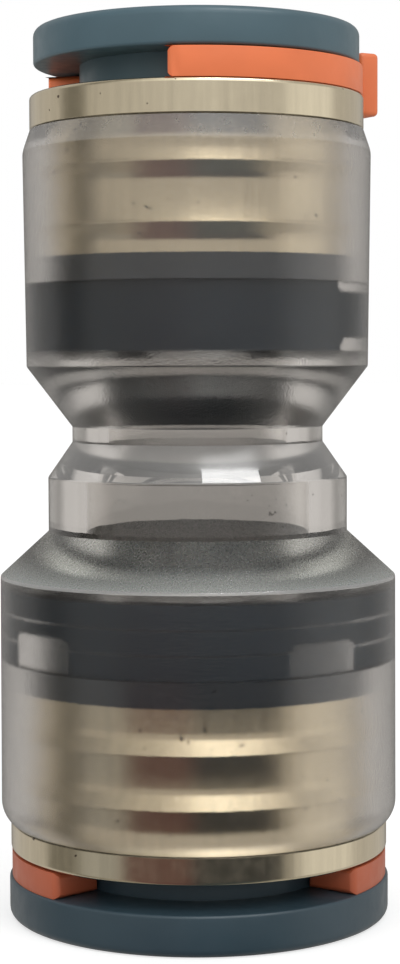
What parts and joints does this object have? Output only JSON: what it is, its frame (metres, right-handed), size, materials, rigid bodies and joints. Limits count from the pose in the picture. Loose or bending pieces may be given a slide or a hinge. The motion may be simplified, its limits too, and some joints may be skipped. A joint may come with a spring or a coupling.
{
  "type": "reducing coupling",
  "caption": "Clear push-in reducing coupling that joins a larger and a smaller plastic tube end to end, with a sprung collet, a metal insert, a seal and a removable locking clip at each port.",
  "frame": {"origin": "on the common axis, at the large collet's outer face, on which the part stands", "axes": "+Z along the common axis, from the large port to the small port; the picture looks along +Y, with +X to its right"},
  "size_m": [0.0234, 0.0244, 0.0521],
  "materials": {
    "clear_body": "clear, satin over the barrels and polished at the waist",
    "plated_brass": "nickel plated, turned",
    "seal_rubber": "matt",
    "black_plastic": "matt",
    "collet_plastic": "satin",
    "clip_plastic": "satin",
    "claw_steel": "bright"
  },
  "bodies": {
    "coupling": {"coupling_body": "clear_body", "large_insert_ring": "plated_brass", "large_seal_ring": "seal_rubber", "large_spacer_ring": "black_plastic", "small_insert_ring": "plated_brass", "small_seal_ring": "seal_rubber", "small_spacer_ring": "black_plastic"},
    "large_collet": {"large_collet": "collet_plastic", "large_claw_1": "claw_steel", "large_claw_2": "claw_steel", "large_claw_3": "claw_steel", "large_claw_4": "claw_steel", "large_claw_5": "claw_steel", "large_claw_6": "claw_steel", "large_claw_7": "claw_steel", "large_claw_8": "claw_steel"},
    "small_collet": {"small_collet": "collet_plastic", "small_claw_1": "claw_steel", "small_claw_2": "claw_steel", "small_claw_3": "claw_steel", "small_claw_4": "claw_steel", "small_claw_5": "claw_steel", "small_claw_6": "claw_steel"},
    "large_clip": {"large_locking_clip": "clip_plastic"},
    "small_clip": {"small_locking_clip": "clip_plastic"}
  },
  "joints": [
    {"name": "large_collet_press", "type": "slide", "parent": "coupling", "child": "large_collet", "axis": [0, 0, 1], "range_m": [0, 0.0001]},
    {"name": "small_collet_press", "type": "slide", "parent": "coupling", "child": "small_collet", "axis": [0, 0, -1], "range_m": [0, 0.0001]},
    {"name": "large_clip_pull", "type": "slide", "parent": "large_collet", "child": "large_clip", "axis": [-0.0523, 0.9986, 0], "range_m": [0, 0.025], "deforming": ["large_locking_clip"]},
    {"name": "small_clip_pull", "type": "slide", "parent": "coupling", "child": "small_clip", "axis": [0.8704, 0.4924, 0], "range_m": [0, 0.025], "deforming": ["small_locking_clip"]}
  ]
}
